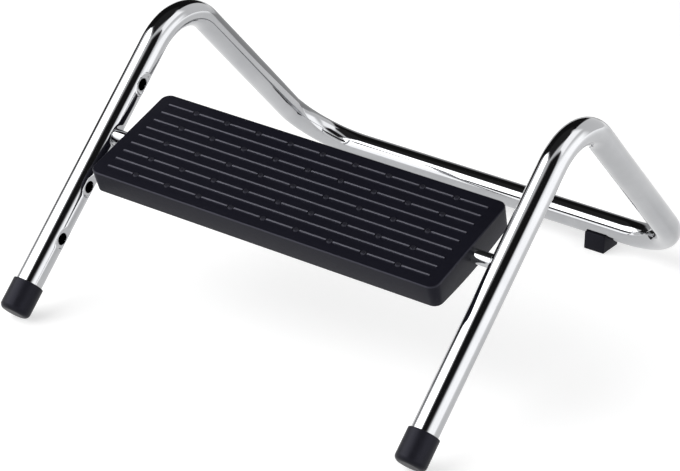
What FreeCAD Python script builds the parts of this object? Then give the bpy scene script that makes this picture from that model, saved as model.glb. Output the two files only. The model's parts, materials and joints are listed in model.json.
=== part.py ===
import FreeCAD, Part
import math
import os

# Tilting under desk footrest. Millimetres, X across, Y towards the back, Z up.
# The origin is on the floor, in the middle of the footprint.

# Bent frame tube
tube_diameter = 25.0
tube_wall = 1.5
leg_spacing = 430.0
leg_length = 335.7
leg_lean = 45.9
frame_reach = 454.0
top_bend_radius = 55.0
rear_bend_radius = 62.0

# Punched height holes in the inner wall of both front legs
hole_count = 4
hole_pitch = 53.7
first_hole_distance = 79.1
axle_hole_index = 2
dent_depth = 1.9
dent_radius = 7.6
dent_flare = 3.4

# Moulded caps on the front feet
cap_diameter = 29.0
cap_length = 30.0
cap_floor = 4.0
cap_bottom_round = 5.0
cap_rim_chamfer = 0.8

# Saddle glides under the rear bar
glide_width = 22.0
glide_depth = 26.5
glide_under_tube = 12.0
glide_wrap = 6.0
glide_round = 1.5
glide_from_middle = 126.0

# One screw through each glide into the tube
screw_diameter = 4.0
screw_head_diameter = 8.0
screw_head_height = 2.4
screw_head_chamfer = 1.0
screw_tip_diameter = 1.0
screw_reach = 5.0
screw_recess_depth = 5.0
screw_recess_clearance = 0.6

# Axle rod
axle_diameter = 13.0
spigot_diameter = 11.4
spigot_length = 10.0
axle_chamfer = 1.0
running_clearance = 0.08
axle_end_play = 0.3
axle_grip_clearance = 0.02

# Push-on rings that hold the axle in the platform
ring_diameter = 21.0
ring_thickness = 1.2
ring_dish = 1.0

# Moulded platform
platform_width = 372.0
platform_depth = 117.0
platform_corner_radius = 9.0
smallest_inner_corner = 1.0
platform_edge_round = 1.2
platform_tilt = 18.3
platform_draft = 3.0
platform_wall = 2.6
top_thickness = 3.0
skirt_depth = 22.6
belly_drop = 4.0
axle_below_top = 12.6
axle_behind_middle = 1.5

# Hub round the axle inside each end wall
hub_diameter = 21.0
hub_length = 12.0

# Ribs under the platform
cross_rib_count = 9
long_rib_offset = 29.0
rib_thickness = 2.0
long_rib_rise = 8.0

# Raised tread on top
row_count = 9
row_pitch = 11.4
stud_count = 9
stud_pitch = 35.25
stud_gap = 7.0
tread_rib_width = 2.4
tread_rib_crest = 1.3
tread_rib_height = 1.1
stud_diameter = 5.4
stud_crest_diameter = 4.2
stud_height = 1.2
tread_root = 0.6

# Worked out from the sizes above
Vector = FreeCAD.Vector
across = Vector(1, 0, 0)
upwards = Vector(0, 0, 1)
sides = {"left": -1, "right": 1}
tube_radius = tube_diameter / 2
bore_radius = tube_radius - tube_wall
cap_radius = cap_diameter / 2
axle_radius = axle_diameter / 2
lean = math.radians(leg_lean)
draft = math.tan(math.radians(platform_draft))
leg_up = Vector(0, math.sin(lean), math.cos(lean))
cap_core_radius = cap_radius - cap_bottom_round
foot_height = cap_core_radius * math.sin(lean) + cap_bottom_round * (1 - math.cos(lean))
foot_front = cap_core_radius * math.cos(lean) + cap_bottom_round * (1 - math.sin(lean))
rear_back = max(tube_radius, glide_depth / 2)
foot_y = foot_front - (foot_front + frame_reach + rear_back) / 2
rear_bar_y = foot_y + frame_reach
rear_bar_height = glide_under_tube + tube_radius
hole_radius = spigot_diameter / 2 + running_clearance
flat_offset = leg_spacing / 2 - tube_radius + dent_depth
axle_length = 2 * (flat_offset - axle_end_play)
platform_skirt = skirt_depth + belly_drop
platform_end = platform_width / 2
hub_face = platform_end - draft * axle_below_top - hub_length
dash_length = stud_pitch - stud_gap
tread_length = stud_count * stud_pitch + dash_length
overshoot = 5.0
same_place = 1e-6


def foot_point(side):
    """Middle of the bottom of a foot cap."""
    return Vector(side * leg_spacing / 2, foot_y, foot_height)


def leg_point(side, distance):
    """Point on a front leg's axis, at a distance from the bottom of its cap."""
    return foot_point(side) + leg_up * distance


def rear_corner(side):
    """Where the rear leg's axis meets the rear bar's axis."""
    return Vector(side * leg_spacing / 2, rear_bar_y, rear_bar_height)


def axle_point():
    """Middle of the axle."""
    point = leg_point(1, first_hole_distance + axle_hole_index * hole_pitch)
    return Vector(0, point.y, point.z)


def bend_arc(before, corner, after, radius):
    """Arc that rounds a corner between two straight runs."""
    towards_before = (before - corner).normalize()
    towards_after = (after - corner).normalize()
    half = towards_before.getAngle(towards_after) / 2
    setback = radius / math.tan(half)
    middle = (towards_before + towards_after).normalize()
    crown = corner + middle * (radius / math.sin(half) - radius)
    return Part.Arc(corner + towards_before * setback, crown, corner + towards_after * setback)


def bent_path(points, radii):
    """Straight runs between points, joined by tangent arcs."""
    edges = []
    start = points[0]
    for before, corner, after, radius in zip(points, points[1:], points[2:], radii):
        arc = bend_arc(before, corner, after, radius)
        edges.append(Part.makeLine(start, arc.StartPoint))
        edges.append(arc.toShape())
        start = arc.EndPoint
    edges.append(Part.makeLine(start, points[-1]))
    return Part.Wire(edges)


def round_bar(points, radii, section_radius):
    """Solid bar of round section along a bent path."""
    section = Part.Circle(points[0], points[1] - points[0], section_radius).toShape()
    return bent_path(points, radii).makePipeShell([Part.Wire([section])], True, False)


def height_hole_tools(side, index):
    """Cutter for the dent, plate behind the dent and cutter for one height hole."""
    on_axis = leg_point(side, first_hole_distance + index * hole_pitch)
    seat = Vector(side * flat_offset, on_axis.y, on_axis.z)
    inwards = across * -side
    outwards = across * side
    flare = dent_flare / dent_depth
    dent_height = dent_depth + overshoot
    dent = Part.makeCone(dent_radius, dent_radius + flare * dent_height, dent_height, seat, inwards)
    plate = Part.makeCylinder(dent_radius + dent_flare, tube_wall, seat, outwards)
    core_start = on_axis - leg_up * (dent_radius + 2 * dent_flare)
    core_length = 2 * (dent_radius + 2 * dent_flare)
    core = Part.makeCylinder(tube_radius - tube_wall / 2, core_length, core_start, leg_up)
    hole_start = seat + inwards * dent_height
    hole_length = dent_height + tube_wall + tube_radius / 2
    hole = Part.makeCylinder(hole_radius, hole_length, hole_start, outwards)
    return dent, plate.common(core), hole


def make_frame_tube():
    """One bent tube: two front legs, two rear legs and the rear bar."""
    points = [leg_point(-1, cap_floor), leg_point(-1, leg_length), rear_corner(-1)]
    points += [rear_corner(1), leg_point(1, leg_length), leg_point(1, cap_floor)]
    radii = [top_bend_radius, rear_bend_radius, rear_bend_radius, top_bend_radius]
    tube = round_bar(points, radii, tube_radius).cut(round_bar(points, radii, bore_radius))
    tools = [height_hole_tools(side, i) for side in sides.values() for i in range(hole_count)]
    dents, plates, holes = zip(*tools)
    tube = tube.cut(list(dents)).fuse(list(plates)).cut(list(holes))
    return tube.cut([screw_hole(side) for side in sides.values()]).removeSplitter()


def screw_hole(side):
    """Cutter for the screw's hole in the underside of the rear bar."""
    start = Vector(side * glide_from_middle, rear_bar_y, 0)
    return Part.makeCylinder(screw_diameter / 2, rear_bar_height, start, upwards)


def revolved(outline, centre, axis, radial):
    """Solid turned about an axis from (radius, height) points joined by straight lines."""
    corners = [centre + radial * radius + axis * height for radius, height in outline]
    face = Part.Face(Part.makePolygon(corners + corners[:1]))
    return face.revolve(centre, axis, 360)


def make_foot_cap(side):
    """Moulded cap over the end of a front leg, with a rounded bottom edge and a chamfered rim."""
    centre = foot_point(side)
    body = Part.makeCylinder(cap_radius, cap_length, centre, leg_up)
    bottom = [edge for edge in body.Edges if edge.CenterOfMass.distanceToPoint(centre) < same_place]
    body = body.makeFillet(cap_bottom_round, bottom)
    rim_centre = centre + leg_up * cap_length
    rim = [edge for edge in body.Edges if edge.CenterOfMass.distanceToPoint(rim_centre) < same_place]
    body = body.makeChamfer(cap_rim_chamfer, rim)
    socket = Part.makeCylinder(tube_radius, cap_length, centre + leg_up * cap_floor, leg_up)
    return body.cut(socket)


def make_rear_glide(side):
    """Saddle block that carries the rear bar, with a sunk screw hole."""
    height = glide_under_tube + glide_wrap
    corner = Vector(side * glide_from_middle - glide_width / 2, rear_bar_y - glide_depth / 2, 0)
    block = Part.makeBox(glide_width, glide_depth, height, corner)
    upright = [edge for edge in block.Edges if abs(edge.Length - height) < same_place]
    block = block.makeFillet(glide_round, upright)
    bar_start = Vector(side * glide_from_middle - glide_width, rear_bar_y, rear_bar_height)
    bar = Part.makeCylinder(tube_radius, 2 * glide_width, bar_start, across)
    base = Vector(side * glide_from_middle, rear_bar_y, 0)
    recess_radius = screw_head_diameter / 2 + screw_recess_clearance
    recess = Part.makeCylinder(recess_radius, screw_recess_depth, base, upwards)
    return block.cut([bar, screw_hole(side), recess])


def make_glide_screw(side):
    """Pan-headed screw, head up against the floor of the glide's recess."""
    centre = Vector(side * glide_from_middle, rear_bar_y, screw_recess_depth)
    head = screw_head_diameter / 2
    shank = screw_diameter / 2
    tip = glide_under_tube + tube_wall + screw_reach - screw_recess_depth
    outline = [(0, -screw_head_height), (head - screw_head_chamfer, -screw_head_height)]
    outline += [(head, screw_head_chamfer - screw_head_height), (head, 0)]
    outline += [(shank, 0), (shank, tip - shank), (screw_tip_diameter / 2, tip), (0, tip)]
    return revolved(outline, centre, upwards, across)


def make_axle_rod():
    """Straight rod with a turned-down spigot at each end."""
    end = axle_length / 2
    spigot = spigot_diameter / 2
    reach = end + spigot_length
    half = [(axle_radius, end), (spigot, end), (spigot, reach - axle_chamfer)]
    half += [(spigot - axle_chamfer, reach), (0, reach)]
    other_half = [(radius, -along) for radius, along in reversed(half)]
    return revolved(other_half + half, axle_point(), across, upwards)


def make_axle_ring(side):
    """Dished push-on ring against the inner face of a hub."""
    centre = axle_point() + across * (side * hub_face)
    lip = ring_thickness + ring_dish
    outline = [(ring_diameter / 2, 0), (ring_diameter / 2, ring_thickness)]
    outline += [(axle_radius, lip + ring_thickness), (axle_radius, lip)]
    outline += [(axle_radius + lip, ring_thickness), (axle_radius + lip, 0)]
    return revolved(outline, centre, across * -side, upwards)


def outline_at(height, inset):
    """Platform's plan outline at a height over the axle, moved in by an inset."""
    shrink = inset + draft * (axle_below_top - height)
    half_width = platform_end - shrink
    half_depth = platform_depth / 2 - shrink
    radius = max(platform_corner_radius - shrink, smallest_inner_corner)
    middle = -axle_behind_middle
    edges = []
    for x_sign, y_sign in ((1, -1), (1, 1), (-1, 1), (-1, -1)):
        turn = math.atan2(y_sign, x_sign)
        x = x_sign * (half_width - radius)
        y = middle + y_sign * (half_depth - radius)
        arc = [Vector(x + radius * math.cos(turn + step), y + radius * math.sin(turn + step), height)
               for step in (-math.pi / 4, 0, math.pi / 4)]
        if edges:
            edges.append(Part.makeLine(edges[-1].Vertexes[-1].Point, arc[0]))
        edges.append(Part.Arc(*arc).toShape())
    edges.append(Part.makeLine(edges[-1].Vertexes[-1].Point, edges[0].Vertexes[0].Point))
    return Part.Wire(edges)


def below_the_belly():
    """Everything below the platform's lower edge, which sags in an arc to the axle."""
    edge_height = axle_below_top - skirt_depth
    front = -axle_behind_middle - platform_depth / 2
    back = -axle_behind_middle + platform_depth / 2
    x = -platform_end - overshoot
    floor = edge_height - belly_drop - 2 * overshoot
    first = Vector(x, front, edge_height)
    last = Vector(x, back, edge_height)
    lowest = Vector(x, 0, edge_height - belly_drop)
    corners = [last, Vector(x, back + overshoot, edge_height), Vector(x, back + overshoot, floor)]
    corners += [Vector(x, front - overshoot, floor), Vector(x, front - overshoot, edge_height), first]
    sag = Part.Arc(first, lowest, last).toShape()
    face = Part.Face(Part.Wire([sag] + Part.makePolygon(corners).Edges))
    return face.extrude(across * (platform_width + 2 * overshoot))


def platform_envelope():
    """Outside of the platform without its tread: drafted, rounded and bellied."""
    bottom = axle_below_top - platform_skirt
    block = Part.makeLoft([outline_at(bottom, 0), outline_at(axle_below_top, 0)], True, True)
    top_edges = [edge for edge in block.Edges
                 if edge.BoundBox.ZMin > axle_below_top - same_place]
    return block.makeFillet(platform_edge_round, top_edges).cut(below_the_belly())


def platform_ribs():
    """Upright ribs under the top: webs across the axle and two long ones beside it."""
    ceiling = axle_below_top - top_thickness / 2
    drop = platform_skirt
    ribs = []
    spacing = platform_width / (cross_rib_count + 1)
    front = -axle_behind_middle - platform_depth / 2
    for index in range(cross_rib_count):
        x = spacing * (index + 1) - platform_end - rib_thickness / 2
        ribs.append(Part.makeBox(rib_thickness, platform_depth, drop, Vector(x, front, ceiling - drop)))
    low_edge = axle_below_top - skirt_depth + long_rib_rise
    for sign in (-1, 1):
        y = sign * long_rib_offset - rib_thickness / 2 - axle_behind_middle
        corner = Vector(-platform_end, y, low_edge)
        ribs.append(Part.makeBox(platform_width, rib_thickness, ceiling - low_edge, corner))
    return ribs


def hub(side):
    """Round boss on the inside of an end wall, round the axle."""
    start = Vector(side * hub_face, 0, 0)
    return Part.makeCylinder(hub_diameter / 2, hub_length + overshoot, start, across * side)


def tread_rib(start_x, length, y):
    """Low ridge along X with sloping flanks, rooted in the top."""
    foot = tread_rib_width / 2
    crest = tread_rib_crest / 2
    low = axle_below_top - tread_root
    top = axle_below_top + tread_rib_height
    outline = [(y - foot, low), (y - foot, axle_below_top), (y - crest, top)]
    outline += [(y + crest, top), (y + foot, axle_below_top), (y + foot, low)]
    corners = [Vector(start_x, across_y, height) for across_y, height in outline]
    face = Part.Face(Part.makePolygon(corners + corners[:1]))
    return face.extrude(across * length)


def tread_stud(x, y):
    """Low round stud with a sloping side."""
    slope = (stud_diameter - stud_crest_diameter) / 2 / stud_height
    base_radius = stud_diameter / 2 + slope * tread_root
    base = Vector(x, y, axle_below_top - tread_root)
    return Part.makeCone(base_radius, stud_crest_diameter / 2, tread_root + stud_height, base, upwards)


def platform_tread():
    """Rows of ridges: whole ones, and between them ones broken by a line of studs."""
    pieces = []
    left_end = -tread_length / 2
    first_stud = left_end + dash_length + stud_gap / 2
    for row in range(row_count):
        y = (row - (row_count - 1) / 2) * row_pitch - axle_behind_middle
        if row % 2:
            pieces.append(tread_rib(left_end, tread_length, y))
            continue
        for dash in range(stud_count + 1):
            pieces.append(tread_rib(left_end + dash * stud_pitch, dash_length, y))
        for stud in range(stud_count):
            pieces.append(tread_stud(first_stud + stud * stud_pitch, y))
    return pieces


def make_tread_platform():
    """Moulded tray: ribbed top, drafted skirt, webs and a hub for the axle at each end."""
    envelope = platform_envelope()
    ceiling = axle_below_top - top_thickness
    bottom = axle_below_top - platform_skirt - overshoot
    cavity_outlines = [outline_at(bottom, platform_wall), outline_at(ceiling, platform_wall)]
    cavity = Part.makeLoft(cavity_outlines, True, True)
    inside = platform_ribs() + [hub(side) for side in sides.values()]
    inside = inside[0].fuse(inside[1:]).common(envelope)
    body = envelope.cut(cavity).fuse(inside)
    bore_start = Vector(-platform_width, 0, 0)
    bore = Part.makeCylinder(axle_radius + axle_grip_clearance, 2 * platform_width, bore_start, across)
    body = body.cut(bore).fuse(platform_tread()).removeSplitter()
    body.rotate(Vector(0, 0, 0), across, platform_tilt)
    body.translate(axle_point())
    return body


def save(name, shape):
    """Check a node's solids and write them to its own file."""
    solids = shape.Solids
    whole = Part.makeCompound(solids) if len(solids) > 1 else solids[0]
    box = whole.BoundBox
    print(name, len(solids), whole.isValid(), round(whole.Volume, 1),
          [round(value, 2) for value in (box.XMin, box.XMax, box.YMin, box.YMax, box.ZMin, box.ZMax)])
    whole.exportStep("parts/" + name + ".step")


def main():
    """Write one file for each separate piece, or group of like fasteners."""
    os.makedirs("parts", exist_ok=True)
    save("frame_tube", make_frame_tube())
    for word, side in sides.items():
        save("foot_cap_" + word, make_foot_cap(side))
        save("rear_glide_" + word, make_rear_glide(side))
    save("glide_screws", Part.makeCompound([make_glide_screw(side) for side in sides.values()]))
    save("axle_rod", make_axle_rod())
    save("axle_rings", Part.makeCompound([make_axle_ring(side) for side in sides.values()]))
    save("tread_platform", make_tread_platform())


if __name__ == "__main__":
    main()
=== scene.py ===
import json
import logging
import math
from dataclasses import dataclass
from enum import Enum
from typing import Sequence, Union

import bmesh
import bpy
from bpy.types import Material, Mesh, Node, Object
from mathutils import Matrix, Vector


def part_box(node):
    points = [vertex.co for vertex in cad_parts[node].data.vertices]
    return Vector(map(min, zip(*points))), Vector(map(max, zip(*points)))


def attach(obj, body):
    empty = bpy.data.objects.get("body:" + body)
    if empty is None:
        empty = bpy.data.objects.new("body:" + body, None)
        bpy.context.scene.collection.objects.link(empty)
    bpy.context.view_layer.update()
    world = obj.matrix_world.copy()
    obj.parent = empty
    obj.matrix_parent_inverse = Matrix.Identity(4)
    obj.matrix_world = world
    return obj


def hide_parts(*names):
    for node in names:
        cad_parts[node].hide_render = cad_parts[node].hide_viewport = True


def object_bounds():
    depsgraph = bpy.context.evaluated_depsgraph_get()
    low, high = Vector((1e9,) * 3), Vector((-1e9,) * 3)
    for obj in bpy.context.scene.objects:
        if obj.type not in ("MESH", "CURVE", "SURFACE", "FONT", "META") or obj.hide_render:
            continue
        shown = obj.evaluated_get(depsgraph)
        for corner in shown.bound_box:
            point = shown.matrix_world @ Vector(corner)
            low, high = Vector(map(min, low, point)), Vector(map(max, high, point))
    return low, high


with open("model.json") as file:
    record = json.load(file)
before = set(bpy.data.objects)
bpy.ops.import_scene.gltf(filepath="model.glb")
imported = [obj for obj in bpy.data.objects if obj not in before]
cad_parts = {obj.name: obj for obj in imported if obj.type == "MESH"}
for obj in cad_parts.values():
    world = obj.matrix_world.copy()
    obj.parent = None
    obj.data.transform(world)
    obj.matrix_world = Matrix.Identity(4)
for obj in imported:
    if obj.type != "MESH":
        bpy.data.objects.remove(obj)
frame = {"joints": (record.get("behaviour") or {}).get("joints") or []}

# Looks of a tilting under desk footrest. Metres, X across, Y towards the back, Z up.
CAD_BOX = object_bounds()
MM = 0.001
ACROSS = Vector((1, 0, 0))
UP = Vector((0, 0, 1))
QUARTER_TURN = math.pi / 2
SAME_POINT = 1e-7
WHITE = (1.0, 1.0, 1.0, 1.0)
NODE_FAMILIES = ("GeometryNode", "ShaderNode", "FunctionNode")
log = logging.getLogger("footrest")

Operand = Union["Value", float, tuple]
Outline = Sequence[tuple[float, float]]


class Side(Enum):
    """Left or right half of the footrest, as the sign of X."""

    LEFT = -1
    RIGHT = 1

    @property
    def word(self) -> str:
        """The side as names of pieces and nodes say it."""
        return self.name.lower()


class Body(Enum):
    """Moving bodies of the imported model."""

    FRAME = "frame"
    PLATFORM = "platform"


class Combine(Enum):
    """What a mesh boolean does."""

    UNION = "UNION"
    DIFFERENCE = "DIFFERENCE"


class Value:
    """One socket of a node tree, whose arithmetic adds the nodes that it needs."""

    def __init__(self, net: "Net", socket: bpy.types.NodeSocket) -> None:
        """Keep the net and the output socket."""
        self.net = net
        self.socket = socket

    def __add__(self, other: Operand) -> "Value":
        """Sum."""
        return self.net.calculate("ADD", self, other)

    def __radd__(self, other: Operand) -> "Value":
        """Sum, from the right."""
        return self.net.calculate("ADD", other, self)

    def __sub__(self, other: Operand) -> "Value":
        """Difference."""
        return self.net.calculate("SUBTRACT", self, other)

    def __rsub__(self, other: Operand) -> "Value":
        """Difference, from the right."""
        return self.net.calculate("SUBTRACT", other, self)

    def __mul__(self, other: Operand) -> "Value":
        """Product."""
        return self.net.calculate("MULTIPLY", self, other)

    def __rmul__(self, other: Operand) -> "Value":
        """Product, from the right."""
        return self.net.calculate("MULTIPLY", other, self)

    def __truediv__(self, other: Operand) -> "Value":
        """Quotient."""
        return self.net.calculate("DIVIDE", self, other)


class Net:
    """Adds nodes and links to one shader or geometry node tree."""

    def __init__(self, tree: bpy.types.NodeTree) -> None:
        """Keep the tree."""
        self.tree = tree

    def fill(self, node: Node, inputs: dict) -> None:
        """Fill a node's inputs.

        Args:
            node: the node.
            inputs: values or settings by socket name or number; a list makes several links.
        """
        for key, given in inputs.items():
            for item in given if isinstance(given, list) else [given]:
                if isinstance(item, Value):
                    self.tree.links.new(item.socket, node.inputs[key])
                else:
                    node.inputs[key].default_value = item

    def node(self, kind: str, inputs: dict | None = None, **settings: object) -> Node:
        """Add a node.

        Args:
            kind: the node's type name, without the family that it starts with.
            inputs: what its inputs get.
            settings: attributes set before the inputs.

        Returns:
            The new node.
        """
        family = next(word for word in NODE_FAMILIES if hasattr(bpy.types, word + kind))
        node = self.tree.nodes.new(family + kind)
        for name, setting in settings.items():
            setattr(node, name, setting)
        self.fill(node, inputs or {})
        return node

    def value(self, kind: str, inputs: dict | None = None, output: str | int = 0,
              **settings: object) -> Value:
        """Add a node and take one of its outputs."""
        return Value(self, self.node(kind, inputs, **settings).outputs[output])

    def calculate(self, operation: str, first: Operand, second: Operand) -> Value:
        """Add a Math node, or a Vector Math node where a vector takes part.

        Args:
            operation: the node's operation.
            first: left operand.
            second: right operand.

        Returns:
            The result.
        """
        items = (first, second)
        if any(isinstance(item, tuple) or isinstance(item, Value) and item.socket.type == "VECTOR"
               for item in items):
            spread = [(item,) * 3 if isinstance(item, (int, float)) else item for item in items]
            return self.value("VectorMath", dict(enumerate(spread)), operation=operation)
        return self.math(operation, *items)

    def math(self, operation: str, *operands: Operand) -> Value:
        """Add a Math node of one to three operands."""
        return self.value("Math", dict(enumerate(operands)), operation=operation)

    def parts(self, vector: Value) -> list[Value]:
        """X, Y and Z of a vector."""
        node = self.node("SeparateXYZ", {0: vector})
        return [Value(self, socket) for socket in node.outputs]

    def place(self, kind: str = "Object") -> Value:
        """Texture coordinates of a kind."""
        return self.value("TexCoord", output=kind)

    def noise(self, place: Value, scale: float, detail: float = 3.0,
              roughness: float = 0.5) -> Value:
        """Add a noise texture and take its factor."""
        inputs = {"Vector": place, "Scale": scale, "Detail": detail, "Roughness": roughness}
        return self.value("TexNoise", inputs, "Fac", noise_dimensions="3D")

    def blend(self, factor: Operand, first: Operand, second: Operand) -> Value:
        """Mix two colours: factor 0 gives the first, 1 the second."""
        colour_inputs, colour_output = (6, 7), 2
        return self.value("Mix", {0: factor, **dict(zip(colour_inputs, (first, second)))},
                          colour_output, data_type="RGBA")

    def ramp(self, factor: Value, start: float, end: float) -> Value:
        """Add a colour ramp from black to white.

        Args:
            factor: what the ramp reads.
            start: where black ends.
            end: where white begins.

        Returns:
            The grey.
        """
        node = self.node("ValToRGB", {"Fac": factor})
        for element, stop in zip(node.color_ramp.elements, (start, end)):
            element.position = stop
        return Value(self, node.outputs[0])

    def eased(self, value: Value, start: Operand, end: Operand, low: float, high: float) -> Value:
        """Go softly from low to high while a value goes from start to end."""
        return self.value("MapRange", {0: value, 1: start, 2: end, 3: low, 4: high},
                          interpolation_type="SMOOTHSTEP")


def linked(name: str, data: bpy.types.ID) -> Object:
    """Add an object to the scene.

    Args:
        name: its name.
        data: its mesh, lamp or camera.

    Returns:
        The object.
    """
    item = bpy.data.objects.new(name, data)
    bpy.context.scene.collection.objects.link(item)
    return item


class Recipe:
    """A geometry node tree with named inputs, run once and kept as a plain mesh."""

    def __init__(self, name: str) -> None:
        """Start a tree with a geometry input and output."""
        self.name = name
        self.tree = bpy.data.node_groups.new(name, "GeometryNodeTree")
        for way in ("INPUT", "OUTPUT"):
            self.tree.interface.new_socket("Geometry", in_out=way, socket_type="NodeSocketGeometry")
        self.net = Net(self.tree)
        self.entry = self.tree.nodes.new("NodeGroupInput")
        self.settings: dict[str, object] = {}
        self.kept_finishes: list[Value] = []

    @property
    def source(self) -> Value:
        """The mesh that the tree starts from."""
        return Value(self.net, self.entry.outputs["Geometry"])

    def entry_socket(self, name: str, kind: str, setting: object) -> Value:
        """Add a named input.

        Args:
            name: the input's name.
            kind: the socket's type, such as Float.
            setting: the value that this footrest uses.

        Returns:
            The input as a value.
        """
        item = self.tree.interface.new_socket(name, in_out="INPUT", socket_type="NodeSocket" + kind)
        self.settings[item.identifier] = setting
        return Value(self.net, self.entry.outputs[name])

    def number(self, name: str, setting: float) -> Value:
        """Add a named number, a whole one for a whole setting."""
        return self.entry_socket(name, "Int" if isinstance(setting, int) else "Float", setting)

    def given(self, owner: object, fields: str) -> list[Value]:
        """Add a named number for each listed field of a sub-assembly."""
        return [self.number(field.replace("_", " ").capitalize(), getattr(owner, field))
                for field in fields.split()]

    def vector(self, name: str, setting: Vector) -> Value:
        """Add a named vector."""
        return self.entry_socket(name, "Vector", tuple(setting))

    def mesh(self, name: str, setting: Mesh) -> Value:
        """Add a named mesh, carried by an object that is deleted after the tree has run."""
        socket = self.entry_socket(name, "Object", bpy.data.objects.new(name, setting))
        return self.net.value("ObjectInfo", {"Object": socket}, "Geometry")

    def row(self, name: str, count: int, start: Vector, step: Vector) -> Value:
        """Add a row of points with named inputs.

        Args:
            name: what stands on the points.
            count: how many there are.
            start: the first point.
            step: the way from one to the next.

        Returns:
            The points.
        """
        return self.net.value("MeshLine", {
            "Count": self.number(f"{name} count", count),
            "Start Location": self.vector(f"First {name.lower()}", start),
            "Offset": self.vector(f"{name} step", step)})

    def placed(self, points: Value, piece: Value, turn: tuple = (0.0, 0.0, 0.0)) -> Value:
        """Put a copy of a piece on every point."""
        copies = self.net.value("InstanceOnPoints", {
            "Points": points, "Instance": piece, "Rotation": turn})
        return self.net.value("RealizeInstances", {"Geometry": copies})

    def combined(self, how: Combine, first: Value, others: list[Value]) -> Value:
        """Add others to a mesh, or cut them out of it."""
        inputs = {1: [first] + others} if how is Combine.UNION else {0: first, 1: others}
        return self.net.value("MeshBoolean", inputs, operation=how.value, solver="MANIFOLD")

    def dressed(self, shape: Value, chosen: Value, name: str, material: Material) -> Value:
        """Give the chosen faces a finish of their own.

        Args:
            shape: the mesh.
            chosen: 1 on the faces that get the finish.
            name: name of the tree's input for it.
            material: the finish.

        Returns:
            The mesh with that finish on those faces.
        """
        finish = self.entry_socket(name, "Material", material)
        self.kept_finishes.append(finish)
        inputs = {"Geometry": shape, "Selection": chosen, "Material": finish}
        return self.net.value("SetMaterial", inputs)

    def run(self, shape: Value, crease: float, material: Material, source: Mesh) -> Mesh:
        """End the tree, run it on a mesh and keep the result, shaded smooth between creases.

        Args:
            shape: what the tree has made.
            crease: smallest angle of a hard edge, in radians.
            material: finish of every face that has none of its own.
            source: mesh that the tree starts from.

        Returns:
            A plain mesh with its material.
        """
        net = self.net
        smooth = net.value("SetShadeSmooth", {0: shape, "Shade Smooth": True}, domain="FACE")
        angle = net.value("InputMeshEdgeAngle", output="Unsigned Angle")
        sharp = net.value("Compare", {0: angle, 1: crease}, operation="GREATER_THAN")
        inputs = {0: smooth, "Selection": sharp, "Shade Smooth": False}
        creased = net.value("SetShadeSmooth", inputs, domain="EDGE")
        real = net.value("RealizeInstances", {"Geometry": creased})
        finish = self.entry_socket("Finish", "Material", material)
        inputs = {"Geometry": real, "Material": finish}
        if self.kept_finishes:
            inputs["Selection"] = 1.0 - sum(net.value("MaterialSelection", {"Material": kept})
                                            for kept in self.kept_finishes)
        net.fill(self.tree.nodes.new("NodeGroupOutput"), {0: net.value("SetMaterial", inputs)})
        carrier = linked(self.name + "_source", source)
        modifier = carrier.modifiers.new("recipe", "NODES")
        modifier.node_group = self.tree
        for identifier, setting in self.settings.items():
            modifier[identifier] = setting
        graph = bpy.context.evaluated_depsgraph_get()
        mesh = bpy.data.meshes.new_from_object(carrier.evaluated_get(graph), depsgraph=graph)
        mesh.name = self.name
        spent = [item for item in self.settings.values() if isinstance(item, Object)]
        for item in [carrier] + spent:
            bpy.data.objects.remove(item)
        return mesh


class Surface:
    """A material in the making, with its net and its main shader node."""

    def __init__(self, name: str) -> None:
        """Start the material."""
        self.material = bpy.data.materials.new(name)
        self.material.use_nodes = True
        self.net = Net(self.material.node_tree)
        self.shader = self.net.tree.nodes["Principled BSDF"]

    def filled(self, relief: Value, height: float, inputs: dict) -> Material:
        """End the material in its main shader.

        Args:
            relief: pattern of the relief.
            height: height of the relief.
            inputs: what the shader's other inputs get.

        Returns:
            The material.
        """
        bump = self.net.value("Bump", {"Height": relief, "Distance": height, "Strength": 1.0})
        self.net.fill(self.shader, {"Normal": bump, **inputs})
        return self.material

    def replaced(self, whole: Value) -> Material:
        """End the material in a shader of its own making."""
        self.net.fill(self.net.tree.nodes["Material Output"], {"Surface": whole})
        return self.material


@dataclass(frozen=True)
class ChromePlating:
    """Bright chromium: mirror-like, with a faint polishing haze and long slow waves."""

    name: str = "bright_chrome"
    colour: tuple = (0.48, 0.485, 0.495, 1.0)
    cloud_colour: tuple = (0.38, 0.385, 0.4, 1.0)
    polish: float = 0.05
    haze: float = 0.05
    wave_height: float = 0.012 * MM
    cloud_scale: float = 28.0
    cloud_share: float = 0.4
    scuff_scale: float = 420.0
    scuff_share: float = 0.6
    scuff_start: float = 0.45
    scuff_end: float = 0.8
    wave_scale: float = 60.0

    def material(self) -> Material:
        """Build the material.

        Returns:
            The material.
        """
        surface = Surface(self.name)
        net, place = surface.net, surface.net.place()
        clouds = net.noise(place, self.cloud_scale)
        marks = net.noise(place, self.scuff_scale, detail=5.0, roughness=0.7)
        scuffs = net.ramp(marks, self.scuff_start, self.scuff_end)
        haze = clouds * self.cloud_share + scuffs * self.scuff_share
        return surface.filled(net.noise(place, self.wave_scale, detail=1.0), self.wave_height, {
            "Base Color": net.blend(clouds, self.colour, self.cloud_colour),
            "Roughness": self.polish + self.haze * haze,
            "Metallic": 1.0})


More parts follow.
